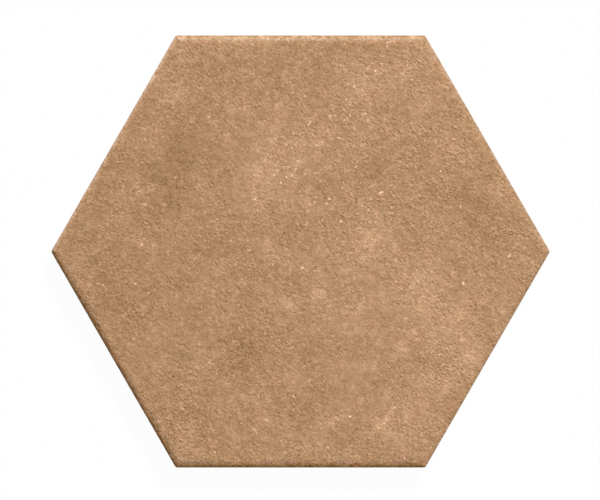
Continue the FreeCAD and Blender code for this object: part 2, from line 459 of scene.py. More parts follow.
@dataclass(frozen=True)
class FaceGrain:
    """The relief of the pressed face: a fine stone-like grain with shallow undulations."""

    grain: RandomField = RandomField(wavelength=2.4 * MM, spread=0.45, seed=11, stretch=GRAIN_STRETCH)
    swell: RandomField = RandomField(wavelength=8.0 * MM, spread=0.42, seed=12, stretch=GRAIN_STRETCH)
    drift: RandomField = RandomField(wavelength=22 * MM, spread=0.60, seed=13)
    drift_share: float = 0.17
    patches: RandomField = RandomField(wavelength=5.0 * MM, spread=0.50, seed=14)
    patch_share: float = 0.27
    grain_depth: float = 0.043 * MM
    swell_depth: float = 0.026 * MM
    peak: float = 2.6
    pit_share: float = 0.22
    rim_share: float = 0.90
    side_share: float = 0.22
    # How far below the face the side's share ends, and the rim's begins and ends, in cushion drops
    side_top: float = 1.6
    rim_foot: float = 0.8
    rim_top: float = 0.6
    least_coarse: float = 0.3
    most_coarse: float = 1.9
    # Where the face is rougher (above 0) or smoother (below 0) than the rest
    zones: tuple[Blot, ...] = (
        Blot(525, 245, 24, 0.55), Blot(185, 425, 30, 0.65), Blot(465, 135, 28, 0.35),
        Blot(455, 358, 24, 0.35), Blot(115, 315, 25, 0.30), Blot(385, 82, 28, 0.15),
        Blot(370, 190, 30, 0.20), Blot(430, 165, 30, 0.20), Blot(250, 338, 26, 0.20),
        Blot(500, 185, 20, 0.20), Blot(190, 155, 34, -0.30), Blot(240, 150, 32, -0.45),
        Blot(187, 302, 20, -0.55), Blot(300, 186, 14, -0.20), Blot(266, 215, 14, -0.20),
        Blot(405, 325, 18, -0.30), Blot(340, 300, 14, -0.20), Blot(350, 385, 32, -0.45),
        Blot(310, 182, 25, -0.35), Blot(372, 325, 30, -0.35), Blot(245, 402, 18, -0.25),
        Blot(300, 415, 22, -0.20), Blot(160, 250, 26, -0.25), Blot(160, 362, 24, -0.35),
        Blot(270, 62, 25, -0.30), Blot(300, 335, 18, -0.25), Blot(290, 300, 14, 0.15),
    )

    def edge_share(self, height: Array, section: EdgeSection) -> Array:
        """How strong the relief is on the edge, from 1 at the face through the rim down to the side.

        Args:
            height: Each point's height.
            section: The edge section.

        Returns:
            Shares from 0 to 1. At the foot it is 0.
        """
        top, drop = section.thickness, section.cushion_drop
        share = self.side_share + (self.rim_share - self.side_share) * smooth_step(
            top - self.side_top * drop, top - self.rim_foot * drop, height)
        share = share + (1 - self.rim_share) * smooth_step(top - self.rim_top * drop, top, height)
        return share * smooth_step(0.0, section.foot_chamfer, height)

    def depth(self, x: Array, y: Array, share: Array) -> Array:
        """How far the surface lies below its highest peaks.

        The grain is g - p (g^2 - 1), which digs pits deeper than it raises bumps, times its depth and
        the coarseness. The result is share * (peak * depth - relief), and never below 0.

        Args:
            x: X of each point, unfolded into the plane of the face.
            y: Y of each point, the same.
            share: How strong the relief is at each point, from 0 to 1.

        Returns:
            Depths in metres.
        """
        raw = self.grain.sample(x, y)
        grain = raw - self.pit_share * (raw ** 2 - 1)
        relief = self.grain_depth * self.coarseness(x, y) * grain
        relief = relief + self.swell_depth * self.swell.sample(x, y)
        ceiling = self.peak * self.grain_depth
        return share * np.maximum(ceiling - relief, 0.0)

    def coarseness(self, x: Array, y: Array) -> Array:
        """How coarse the grain is at given points: 1 + zones + a slow random drift + random patches.

        Args:
            x: X of each point, in metres.
            y: Y of each point, in metres.

        Returns:
            What the grain's strength is multiplied by, from the least to the most coarse.
        """
        random = self.drift_share * self.drift.sample(x, y) + self.patch_share * self.patches.sample(x, y)
        return np.clip(1 + total(self.zones, x, y) + random, self.least_coarse, self.most_coarse)


@dataclass(frozen=True)
class PaintedRimBand:
    """A band of painted light, shade or hue along one side of the rim."""

    side_bearing: float
    strength: float
    width: float
    fade: float = 1.6 * MM

    def weight(self, side: Array, inset: Array) -> Array:
        """The band's strength at points nearest to given sides: full at the outline, 0 past its width.

        Args:
            side: The number of the side nearest to each point, from 0 for the one at +30 degrees.
            inset: How far each point lies inside it, in metres.

        Returns:
            The strength at each point, 0 beside the other sides.
        """
        own = side == round(math.radians(self.side_bearing) / SECTOR - 0.5)
        return own * self.strength * (1 - smooth_step(self.width - self.fade, self.width, inset))


@dataclass(frozen=True)
class FaceTone:
    """How light each point of the face is, in 8-bit levels about the tile's own colour, with painted light
    and shade along the rims.

    Random fields r are used as r + s (r^2 - 1) with the skew s, so that pale spots stand out more
    than dark ones.
    """

    clouds: RandomField = RandomField(wavelength=20 * MM, spread=0.55, seed=21)
    mottle: RandomField = RandomField(wavelength=6 * MM, spread=0.50, seed=22)
    cloud_levels: float = 2.5
    mottle_levels: float = 3.4
    skew: float = 0.12
    # Levels to add in paler patches (above 0) and darker ones (below 0)
    patches: tuple[Blot, ...] = (
        Blot(120, 250, 110, -5), Blot(200, 420, 90, -2), Blot(440, 330, 110, 4),
        Blot(430, 100, 80, 2.5), Blot(362, 85, 20, 14), Blot(425, 60, 24, 7), Blot(400, 88, 14, 5),
        Blot(240, 48, 16, 5), Blot(272, 135, 26, 8), Blot(270, 178, 26, 10), Blot(250, 205, 14, 7),
        Blot(322, 128, 22, 6), Blot(300, 160, 18, 5), Blot(368, 240, 20, 14), Blot(345, 265, 16, 5),
        Blot(408, 272, 14, 8), Blot(425, 298, 17, 16), Blot(455, 318, 16, 8), Blot(445, 345, 16, 5),
        Blot(468, 362, 20, 8), Blot(343, 308, 20, 7), Blot(275, 300, 13, 5), Blot(380, 425, 14, 11),
        Blot(418, 412, 20, 7), Blot(165, 80, 22, 8), Blot(142, 195, 10, 8), Blot(143, 240, 12, 7),
        Blot(450, 140, 16, 4), Blot(330, 445, 14, 2), Blot(265, 420, 12, 4), Blot(182, 158, 22, -10),
        Blot(168, 188, 20, -8), Blot(190, 130, 18, -5), Blot(155, 170, 14, -4), Blot(480, 222, 22, -11),
        Blot(462, 190, 12, -6), Blot(375, 170, 14, -6), Blot(435, 187, 12, -5), Blot(250, 350, 24, -8),
        Blot(235, 365, 14, -3), Blot(318, 352, 16, -7), Blot(308, 400, 18, -7), Blot(352, 430, 14, -6),
        Blot(112, 300, 20, -5), Blot(205, 88, 16, -6), Blot(320, 60, 12, -5), Blot(310, 85, 10, -4),
        Blot(210, 240, 16, -3), Blot(390, 380, 16, -5), Blot(168, 425, 14, -4),
        Blot(374, 429.5, 2.6, 12), Blot(377.5, 428, 2.6, 9), Blot(381, 426, 2.6, 16),
        Blot(386, 420, 2.8, 16), Blot(387.5, 416.5, 2.6, 12), Blot(390, 412, 2.4, 7),
        Blot(395.5, 406.5, 2.2, 8),
    )
    # Painted rim light and shade, as levels to add on each side, and painted rim hue: brown (above 0)
    # where shaded, ashy (below 0) where lit
    painted_rim_light_and_shade: tuple[PaintedRimBand, ...] = (
        PaintedRimBand(30, -8.5, 3.8 * MM), PaintedRimBand(30, -6, 1.4 * MM, 1.0 * MM), PaintedRimBand(90, 10, 3.2 * MM),
        PaintedRimBand(90, -34, 0.9 * MM, 0.9 * MM), PaintedRimBand(150, 18.5, 2.3 * MM),
        PaintedRimBand(330, -6, 1.7 * MM, 1.2 * MM), PaintedRimBand(210, -22, 2.3 * MM, 1.5 * MM),
        PaintedRimBand(210, 5, 6.5 * MM, 2.5 * MM), PaintedRimBand(270, -14, 2.6 * MM),
        PaintedRimBand(270, 7, 5.0 * MM, 2.0 * MM),
    )
    painted_rim_hues: tuple[PaintedRimBand, ...] = (
        PaintedRimBand(30, -0.47, 2.8 * MM), PaintedRimBand(30, -0.53, 1.2 * MM, 0.9 * MM),
        PaintedRimBand(90, -0.38, 3.0 * MM), PaintedRimBand(150, -0.42, 1.8 * MM),
        PaintedRimBand(210, 0.6, 2.4 * MM, 1.9 * MM), PaintedRimBand(270, 1.0, 2.4 * MM, 1.9 * MM),
    )
    rim_wander: RandomField = RandomField(wavelength=3.5 * MM, spread=0.6, seed=23)
    rim_wander_depth: float = 0.4 * MM
    # How far past the outline the painted rim light, shade and hue reach, unfolded, and how much of that
    # is their fading out
    rim_overhang: float = 0.9 * MM
    rim_overhang_fade: float = 0.6 * MM

    def painted_rim_hue(self, x: Array, y: Array, apothem: float) -> Array:
        """The painted hue of the rims at given points, from -1 for the ashy tint of painted light to 1 for
        the brown of painted shade.
        """
        return self.along_rim(self.painted_rim_hues, x, y, apothem)

    def levels(self, x: Array, y: Array, apothem: float) -> Array:
        """The tone at given points, with the painted light and shade along the rims.

        Args:
            x: X of each point, in metres.
            y: Y of each point, in metres.
            apothem: Half the tile's width across its flats.

        Returns:
            Levels above or below the tile's own colour.
        """
        clouds, mottle = (random + self.skew * (random ** 2 - 1)
                          for random in (self.clouds.sample(x, y), self.mottle.sample(x, y)))
        return (total(self.patches, x, y) + self.cloud_levels * clouds + self.mottle_levels * mottle
                + self.along_rim(self.painted_rim_light_and_shade, x, y, apothem))

    def along_rim(self, bands: tuple[PaintedRimBand, ...], x: Array, y: Array, apothem: float) -> Array:
        """The sum of some bands along the rim, with uneven inner lines, faded out down the side.

        The inset is the apothem less the reach towards the nearest side, and the bands take it with a
        random wander added. The nearest side is the one that the point lies furthest out towards.

        Args:
            bands: The bands.
            x: X of each point, in metres.
            y: Y of each point, in metres.
            apothem: Half the tile's width across its flats.

        Returns:
            The sum at each point.
        """
        bearing = SECTOR * (np.arange(SIDES) + 0.5)
        reach = x[..., None] * np.cos(bearing) + y[..., None] * np.sin(bearing)
        side = np.argmax(reach, axis=-1)
        inset = apothem - reach.max(axis=-1)
        shown = smooth_step(-self.rim_overhang, self.rim_overhang_fade - self.rim_overhang, inset)
        uneven = inset + self.rim_wander_depth * self.rim_wander.sample(x, y)
        return shown * sum((band.weight(side, uneven) for band in bands), np.zeros_like(inset))


@dataclass(frozen=True)
class LoneGrain:
    """A pale grain that stands out, placed by the pixel of the photograph at its middle."""

    px: float
    py: float
    strength: float
    length_px: float = 2.2
    width_px: float = 2.0
    bearing: float = 0.0
    # How far past its ends the mesh still carries the grain's place, and how it ends there
    margin_px: float = 1.8
    fade_px: float = 0.7

    def place(self, x: Array, y: Array) -> tuple[Array, Array, Array]:
        """Where points lie from the grain's middle.

        Args:
            x: X of each point, in metres.
            y: Y of each point, in metres.

        Returns:
            The distance along the grain in half lengths, across it in half widths, and in all in pixels.
        """
        middle_x, middle_y = from_photo(self.px, self.py)
        right, up = (x - middle_x) / METRES_PER_PX, (y - middle_y) / METRES_PER_PX
        cos, sin = math.cos(math.radians(self.bearing)), math.sin(math.radians(self.bearing))
        along = (right * cos + up * sin) * 2 / self.length_px
        across = (up * cos - right * sin) * 2 / self.width_px
        return along, across, np.hypot(right, up)

    def share(self, away: Array) -> Array:
        """The grain's strength at some distances in pixels: full up to the margin past its ends."""
        past = self.length_px / 2 + self.margin_px
        return self.strength * (1 - smooth_step(past, past + self.fade_px, away))


@dataclass(frozen=True)
class FaceSpecks:
    """Where pale mineral specks gather on the face, and the grains that stand out."""

    clusters: tuple[Blot, ...] = (
        Blot(355, 110, 28, 0.5), Blot(285, 160, 26, 0.5), Blot(320, 212, 24, 0.4),
        Blot(365, 195, 22, 0.4), Blot(400, 62, 22, 0.4), Blot(150, 215, 35, 0.35),
        Blot(400, 415, 20, 0.4), Blot(300, 430, 60, 0.22), Blot(430, 300, 45, 0.2),
        Blot(250, 40, 40, 0.25),
    )
    # Each grain's pixel and strength, and where it isn't round its length, width and bearing
    lone: tuple[LoneGrain, ...] = (
        LoneGrain(354, 86, 1.2, 2.8, 2.0, 20), LoneGrain(305, 96, 0.6, 2.8, 1.6),
        LoneGrain(346, 99.5, 1.2), LoneGrain(350, 104.5, 0.7), LoneGrain(344, 110, 1.1),
        LoneGrain(330, 116, 1.2, 3.2, 1.8, 15), LoneGrain(350, 116, 1.3),
        LoneGrain(365, 114, 0.8, 4.0, 1.5, 25), LoneGrain(344.5, 120, 1.6), LoneGrain(368, 120, 1.4),
        LoneGrain(310.3, 122, 1.0), LoneGrain(308.3, 125, 0.8),
        LoneGrain(354.3, 128.3, 0.9, 5.0, 1.8, 115), LoneGrain(328, 131, 0.7), LoneGrain(371, 128, 0.7),
        LoneGrain(338.6, 137.8, 0.6, 3.6, 3.0), LoneGrain(316.5, 145.5, 0.9, 4.0, 1.6, 165),
        LoneGrain(322, 142, 0.4), LoneGrain(304, 144, 0.6, 3.4, 1.6), LoneGrain(275, 139, 0.8),
        LoneGrain(293.5, 134.5, 0.6, 3.0, 2.0, 150), LoneGrain(300.4, 139.8, 0.4),
        LoneGrain(292, 148, 0.8), LoneGrain(267.8, 154.3, 0.6), LoneGrain(265, 160, 0.5),
        LoneGrain(278.3, 161.5, 0.8), LoneGrain(298.4, 161, 0.9, 3.0, 1.8, 30),
        LoneGrain(275.3, 166, 0.6), LoneGrain(289, 167, 0.5), LoneGrain(278, 171, 0.8),
        LoneGrain(295.4, 170.2, 0.9, 3.4, 2.2, 60), LoneGrain(274, 175, 0.8),
        LoneGrain(292.3, 175.6, 0.6, 3.2, 2.2), LoneGrain(286.4, 177.3, 0.8),
        LoneGrain(280.9, 182.6, 0.9, 2.6, 2.4), LoneGrain(315.7, 173.2, 0.9), LoneGrain(321.3, 170, 0.5),
        LoneGrain(356, 167, 0.8, 3.0, 1.6, 20), LoneGrain(357.5, 161.5, 0.7),
        LoneGrain(440.8, 171.3, 1.1, 2.4, 2.2), LoneGrain(361, 183, 0.6), LoneGrain(371, 186.3, 0.6),
        LoneGrain(342.4, 188, 0.9), LoneGrain(343.4, 182.5, 0.5),
        LoneGrain(381, 192.7, 1.1, 5.5, 1.8, 25), LoneGrain(351.5, 193.5, 0.7),
        LoneGrain(371, 198.9, 1.1), LoneGrain(382, 198, 0.4), LoneGrain(329.4, 199.2, 1.2, 2.8, 1.8),
        LoneGrain(326.9, 203.6, 1.1, 3.2, 2.0, 155), LoneGrain(314.4, 202.3, 0.8, 3.0, 2.2, 60),
        LoneGrain(308, 211, 0.6, 3.0, 1.8, 20), LoneGrain(331.4, 209.2, 0.8),
        LoneGrain(324.5, 213.4, 0.6), LoneGrain(254.8, 199.1, 0.9, 3.0, 2.4),
        LoneGrain(257.4, 210.5, 0.8), LoneGrain(280, 200.4, 0.5), LoneGrain(287, 191, 0.5),
        LoneGrain(262, 187, 0.7), LoneGrain(228.4, 134.2, 0.7, 3.0, 2.4), LoneGrain(362.8, 206, 0.9),
        LoneGrain(368.3, 209.5, 1.0), LoneGrain(391.6, 207, 0.4),
        LoneGrain(460.5, 206.4, 1.0, 2.8, 1.8, 90), LoneGrain(391, 219.5, 0.7),
        LoneGrain(340.9, 221.5, 1.0, 3.2, 2.6), LoneGrain(322.6, 219.9, 0.6),
        LoneGrain(306.3, 223.7, 0.7, 5.0, 1.8, 35), LoneGrain(324, 230.8, 0.6),
        LoneGrain(329.5, 230, 0.7), LoneGrain(321.8, 237.9, 0.5), LoneGrain(308, 248.3, 0.8),
        LoneGrain(302.1, 267.8, 1.2, 3.6, 2.0, 20), LoneGrain(273, 263.8, 0.5),
        LoneGrain(249.5, 250.2, 0.5, 4.0, 1.6), LoneGrain(260.6, 278.9, 0.5, 3.0, 2.6),
        LoneGrain(247.6, 240.6, 0.8), LoneGrain(230.7, 240.6, 0.4, 3.4, 3.0),
        LoneGrain(342.8, 284.2, 0.7), LoneGrain(395.7, 260, 0.8), LoneGrain(431.2, 271.3, 0.7),
        LoneGrain(405, 274, 0.6), LoneGrain(509, 256, 1.1, 4.0, 2.4, 45),
        LoneGrain(463.2, 283.1, 1.3, 3.4, 2.4, 90), LoneGrain(401.2, 288.8, 0.5, 3.0, 1.6),
        LoneGrain(396, 282, 0.5), LoneGrain(363.7, 298.4, 0.9, 2.8, 1.6, 45), LoneGrain(354, 276.3, 0.5),
        LoneGrain(405.6, 318.2, 0.8, 3.2, 1.8, 165), LoneGrain(403.7, 330.3, 0.8),
        LoneGrain(369, 333.4, 0.5), LoneGrain(458.3, 320, 0.5),
        LoneGrain(461.4, 340.5, 0.5, 7.0, 1.3, 175), LoneGrain(439.4, 354.4, 1.3, 2.4, 2.2),
        LoneGrain(443.6, 364.2, 0.8, 1.8, 1.8), LoneGrain(423, 356, 0.4),
        LoneGrain(175.4, 177.8, 1.1, 3.2, 2.0), LoneGrain(148.3, 162, 0.5, 2.6, 2.4),
        LoneGrain(163.4, 137, 0.5), LoneGrain(146, 204.5, 0.3, 3.4, 2.4),
        LoneGrain(200.3, 198.4, 0.5, 3.0, 2.0, 120), LoneGrain(137.5, 183, 0.5),
        LoneGrain(138.3, 191.5, 0.2, 4.6, 4.0), LoneGrain(126.5, 208.8, 0.5),
        LoneGrain(142, 244.5, 0.8, 2.8, 2.4, 100), LoneGrain(175.7, 242.5, 0.9),
        LoneGrain(135.6, 283.7, 1.0, 3.2, 1.5, 150), LoneGrain(148.7, 292.8, 0.9),
        LoneGrain(103.3, 285, 0.9), LoneGrain(93, 297.7, 0.5), LoneGrain(189, 268.6, 0.7),
        LoneGrain(220.4, 56.2, 0.6), LoneGrain(243, 70.5, 0.5), LoneGrain(208.7, 117, 0.8, 3.2, 2.6),
        LoneGrain(268, 39, 0.7), LoneGrain(278.6, 39.2, 0.9), LoneGrain(209.4, 362.7, 0.5, 3.0, 2.8),
        LoneGrain(258.5, 396.2, 0.8), LoneGrain(183, 408.5, 0.5, 4.0, 1.8, 160),
        LoneGrain(200.4, 421.7, 0.7), LoneGrain(228, 413.2, 0.6), LoneGrain(241.3, 423.2, 0.6, 3.0, 1.6),
        LoneGrain(266, 419.8, 0.6, 5.0, 1.8, 160), LoneGrain(254, 429, 0.8, 3.0, 2.6),
        LoneGrain(281.3, 440.6, 0.7), LoneGrain(285.3, 452.2, 0.7),
        LoneGrain(209.8, 440.2, 0.4, 3.0, 2.4), LoneGrain(159.4, 422, 0.5, 3.0, 1.5, 120),
        LoneGrain(163, 428, 0.5, 4.0, 1.6, 105), LoneGrain(197.3, 406.3, 0.3, 4.0, 1.6, 150),
        LoneGrain(293.6, 396.4, 1.1, 3.4, 1.8, 120), LoneGrain(310, 379.5, 0.6),
        LoneGrain(303.7, 430.4, 0.7), LoneGrain(350.1, 416.3, 1.2, 3.6, 2.2, 170),
        LoneGrain(384.5, 423.2, 0.9, 4.0, 2.0, 20), LoneGrain(395.2, 407.1, 0.5, 3.0, 1.8, 45),
        LoneGrain(390, 387.5, 0.4), LoneGrain(338, 419.2, 0.5, 3.0, 2.0, 60),
        LoneGrain(327.8, 447.3, 0.8, 3.4, 3.0), LoneGrain(408.5, 403, 0.7), LoneGrain(387, 42.4, 1.0),
        LoneGrain(394, 41.7, 0.8), LoneGrain(387, 46.2, 1.0), LoneGrain(375, 71.1, 1.0, 2.6, 2.2),
        LoneGrain(368, 68.5, 0.9), LoneGrain(375.2, 76.2, 0.6), LoneGrain(371.6, 63.5, 0.7),
        LoneGrain(381.6, 64, 0.8, 4.0, 1.6), LoneGrain(348.2, 84, 0.6), LoneGrain(351.3, 98.6, 0.4),
        LoneGrain(388.7, 84.7, 0.9), LoneGrain(394.5, 86.4, 0.5),
        LoneGrain(148.5, 263.5, 0.5, 3.4, 1.6, 150), LoneGrain(194, 276.3, 0.9),
        LoneGrain(133.9, 338, 0.7, 3.0, 2.0), LoneGrain(163.8, 306, 0.5), LoneGrain(92.6, 276.7, 0.6),
        LoneGrain(430.5, 447.5, 0.8, 2.6, 2.2), LoneGrain(406.5, 421.8, 0.5, 3.0, 2.6),
        LoneGrain(398.2, 453.7, 0.5), LoneGrain(414.8, 461.4, 0.6, 3.0, 2.4), LoneGrain(363.2, 445.4, 0.4),
        LoneGrain(328.6, 461.4, 0.7, 3.6, 2.0, 90), LoneGrain(256.5, 433, 0.5),
        LoneGrain(231, 427.6, 0.6), LoneGrain(303, 403.3, 0.6), LoneGrain(421, 433.5, 0.4),
    )

    def density(self, x: Array, y: Array) -> Array:
        """How thick the specks lie at given points, from 0 to 1."""
        return np.clip(total(self.clusters, x, y), 0.0, 1.0)

    def nearest_grain(self, x: Array, y: Array, shown: Array) -> dict[Layer, Array]:
        """The nearest lone grain at given points, as the layers from which the material draws it.

        The places along and across a grain are straight functions of the plane, so that triangles
        with the same nearest grain carry them exactly between their corners.

        Args:
            x: X of each point, in metres.
            y: Y of each point, in metres.
            shown: How much of the face's colour each point has, from 0 to 1.

        Returns:
            The layers' values.
        """
        nearest = np.full(x.shape, np.inf)
        found = {layer: np.zeros(x.shape) for layer in (Layer.ALONG, Layer.ACROSS, Layer.GRAINS)}
        for grain in self.lone:
            along, across, away = grain.place(x, y)
            closer = away < nearest
            nearest[closer] = away[closer]
            found[Layer.ALONG][closer] = along[closer]
            found[Layer.ACROSS][closer] = across[closer]
            found[Layer.GRAINS][closer] = (grain.share(away) * shown)[closer]
        return found


@dataclass(frozen=True)
class KeyedBack:
    """The six-sided cells pressed into the underside, between ribs."""

    pitch: float = 17.5 * MM
    rib: float = 2.5 * MM
    depth: float = 0.8 * MM
    draft: float = math.radians(30)
    rings: int = 6
    arris: float = 0.18 * MM
    arris_steps: int = 3
    coarseness: float = 0.35
    # How deep the wash reaches, as a share of the depth
    wash_reach: float = 0.5
    # Rib corners nearer to each other than this are one point
    same_place: float = 0.001 * MM

    def centres(self) -> Array:
        """The cells' middles: pitch * (q + r / 2, r * sqrt(3) / 2) for whole q and r in six sides.

        Returns:
            X and Y with shape (cells, 2).
        """
        q, r = np.meshgrid(np.arange(-self.rings, self.rings + 1), np.arange(-self.rings, self.rings + 1))
        keep = np.abs(q + r) <= self.rings
        q, r = q[keep], r[keep]
        return self.pitch * np.stack([q + r / 2, r * math.sqrt(3) / 2], axis=-1)

    def section(self) -> Array:
        """Half width and height across a cell, from the middle of a rib to the cell's floor.

        Returns:
            Points with shape (n, 2).
        """
        mouth = (self.pitch - self.rib) / 2
        foot = mouth - self.depth * math.tan(self.draft)
        return rounded_chain([(self.pitch / 2, 0.0), (mouth, 0.0), (foot, self.depth),
                              (foot / 2, self.depth)], self.arris, self.arris_steps)

    def build(self, surface: Surface, border: Array, border_at: Array) -> None:
        """Adds the cells and the strip between them and the tile's foot.

        Each cell is its section carried round six corners, at bearings 30 + 60 m degrees, and closed
        by a point in the middle. The ribs' middles are shared by neighbouring cells.

        Args:
            surface: What the back is added to.
            border: Indices of the ring at the tile's foot.
            border_at: Each border point's bearing as a share of a full turn.
        """
        section = self.section()
        angle = SECTOR * (np.arange(SIDES) + 0.5)
        corner = np.stack([np.cos(angle), np.sin(angle)], axis=-1) / math.cos(SECTOR / 2)
        centres = self.centres()
        plan = centres[:, None, None, :] + section[None, :, 0, None, None] * corner[None, None]
        height = np.broadcast_to(section[None, :, 1, None], plan.shape[:-1])
        cells = np.concatenate([plan, height[..., None]], axis=-1)

        rim = np.round(cells[:, 0, :, :2] / self.same_place).astype(int).reshape(-1, 2)
        _, first, shared, uses = np.unique(rim, axis=0, return_index=True, return_inverse=True,
                                           return_counts=True)
        rib_points = cells[:, 0].reshape(-1, 3)[first]
        rib_ids = surface.add_points(rib_points, self.layers(rib_points[:, 2]))
        inner = surface.add_points(cells[:, 1:], self.layers(cells[:, 1:, :, 2]))
        middles = np.concatenate([centres, np.full((len(centres), 1), self.depth)], axis=-1)
        middle_ids = surface.add_points(middles, self.layers(middles[:, 2]))

        rim_ids = rib_ids[shared.reshape(-1)].reshape(len(centres), 1, SIDES)
        rows = np.concatenate([rim_ids, inner], axis=1)
        here, on = rows[:, :-1], rows[:, 1:]
        here_next, on_next = np.roll(here, -1, axis=2), np.roll(on, -1, axis=2)
        surface.triangles.append(np.stack([here, on, on_next], axis=-1).reshape(-1, 3))
        surface.triangles.append(np.stack([here, on_next, here_next], axis=-1).reshape(-1, 3))
        last = rows[:, -1]
        surface.triangles.append(np.stack(
            [last, np.broadcast_to(middle_ids[:, None], last.shape), np.roll(last, -1, axis=1)],
            axis=-1).reshape(-1, 3))

        # Rib corners that fewer than three cells share lie round the outside of the cells
        outer = uses < 3
        turn = np.arctan2(rib_points[outer, 1], rib_points[outer, 0]) / math.tau % 1.0
        order = np.argsort(turn)
        surface.zip_loops(border, rib_ids[outer][order], border_at, turn[order])

    def layers(self, height: Array) -> dict[Layer, Array | float]:
        """The layers of points of the back: all bare, with kiln wash that fades out from the crests."""
        return {Layer.BARE: 1.0, Layer.COARSE: self.coarseness,
                Layer.WASH: 1.0 - smooth_step(0.0, self.wash_reach * self.depth, height)}


@dataclass
class HexTile:
    """The whole tile: its face, its edge and its keyed back, as one closed piece."""

    thickness: float
    apothem: float
    name: str = "pressed_tile"
    grain: FaceGrain = FaceGrain()
    tone: FaceTone = FaceTone()
    specks: FaceSpecks = FaceSpecks()
    back: KeyedBack = KeyedBack()
    smooth_angle: float = math.radians(38)
    # Where the face's colour ends on the side: below the nose, along an uneven line
    colour_line: float = 6.4 * MM
    colour_fade: float = 0.5 * MM
    line_wander: RandomField = RandomField(wavelength=7 * MM, spread=0.6, seed=31)
    line_wander_height: float = 0.45 * MM

    def build(self) -> bpy.types.Object:
        """Makes the tile's mesh.

        Returns:
            The tile's object.
        """
        surface = Surface()
        section = EdgeSection(thickness=self.thickness)
        outline = HexOutline(apothem=self.apothem)
        rings = self.face_rings(surface, outline, section)
        rings += self.edge_rings(surface, outline, section)
        surface.zip_rings(rings)
        foot = outline.round_ring(section.path()[-1, 0])
        turn = np.arctan2(foot[:, 1], foot[:, 0]) / math.tau % 1.0
        self.back.build(surface, rings[-1], turn)
        tile = surface.to_object(self.name)
        tile.data.shade_smooth()
        tile.data.set_sharp_from_angle(angle=self.smooth_angle)
        return tile

    def layers(self, x: Array, y: Array, height: Array, share: Array) -> dict[Layer, Array | float]:
        """The layers of points of the face and the edge.

        Args:
            x: X of each point, unfolded into the plane of the face.
            y: Y of each point, the same.
            height: Each point's height, without the relief.
            share: How strong the relief is at each point.

        Returns:
            The layers' values.
        """
        line = self.colour_line + self.line_wander_height * self.line_wander.sample(x, y)
        bare = 1.0 - smooth_step(0.0, 1.0, (height - line) / self.colour_fade + 0.5)
        # The tone carries the painted rim light and shade, and the rim hue their painted tint
        return {Layer.TONE: self.tone.levels(x, y, self.apothem),
                Layer.PAINTED_RIM_HUE: self.tone.painted_rim_hue(x, y, self.apothem),
                Layer.SPECKS: self.specks.density(x, y) * (1 - bare),
                **self.specks.nearest_grain(x, y, 1 - bare),
                Layer.COARSE: self.grain.coarseness(x, y) * share,
                Layer.BARE: bare}

    def face_rings(self, surface: Surface, outline: HexOutline, section: EdgeSection) -> list[Array]:
        """Adds the level face: the middle point, then ring after ring, each a step more on a side.

        Args:
            surface: What the face is added to.
            outline: The outline in plan.
            section: The edge section, where the face ends.

        Returns:
            The rings' indices, from the middle outwards.
        """
        full = outline.apothem - section.cushion_width
        plan = [np.zeros((1, 2))]
        plan += [outline.even_ring(outline.apothem - full * n / outline.per_side, n)
                 for n in range(1, outline.per_side)]
        x, y = np.concatenate(plan).T
        share = np.ones_like(x)
        points = np.stack([x, y, self.thickness - self.grain.depth(x, y, share)], axis=1)
        ids = surface.add_points(points, self.layers(x, y, self.thickness * share, share))
        return np.split(ids, np.cumsum([len(ring) for ring in plan])[:-1])

    def edge_rings(self, surface: Surface, outline: HexOutline, section: EdgeSection) -> list[Array]:
        """Adds the edge: the section carried round the outline, one ring for each of its points.

        A ring is lerp(even ring, rounded ring, w), where w goes from 0 at the face's end to 1 at the
        corner radius. The relief is taken at the place where the point would lie if the edge were
        unfolded into the plane of the face, and moves the point against the section's normal.

        Args:
            surface: What the edge is added to.
            outline: The outline in plan.
            section: The edge section.

        Returns:
            The rings' indices, from the face down to the foot.
        """
        path = section.path()
        inset, height = path.T
        weight = smooth_step(-section.cushion_width, -outline.corner_radius, -inset)
        weight[np.argmin(inset):] = 1.0
        plan = np.stack([outline.even_ring(d, outline.per_side) * (1 - w) + outline.round_ring(d) * w
                         for d, w in zip(inset, weight)])
        angle = outline.bearing()
        outward = np.stack([np.cos(angle), np.sin(angle)], axis=-1)

        along = np.gradient(path, axis=0)
        along /= np.hypot(along[:, 0], along[:, 1])[:, None]
        normal_out, normal_up = -along[:, 1:2], -along[:, 0:1]
        travelled = np.concatenate([[0.0], np.cumsum(np.hypot(*np.diff(path, axis=0).T))])
        past_plan = travelled - (section.cushion_width - inset)
        x, y = np.moveaxis(plan + outward * past_plan[:, None, None], -1, 0)
        level = np.broadcast_to(height[:, None], x.shape)

        share = self.grain.edge_share(level, section)
        depth = self.grain.depth(x, y, share)
        moved = plan - outward * (depth * normal_out)[..., None]
        points = np.concatenate([moved, (level - depth * normal_up)[..., None]], axis=-1)
        return list(surface.add_points(points, self.layers(x, y, level, share)))

    def dress(self, tile: bpy.types.Object, material: bpy.types.Material) -> None:
        """Puts the finish on the tile.

        Args:
            tile: The tile's object.
            material: Its finish.
        """
        tile.data.materials.append(material)


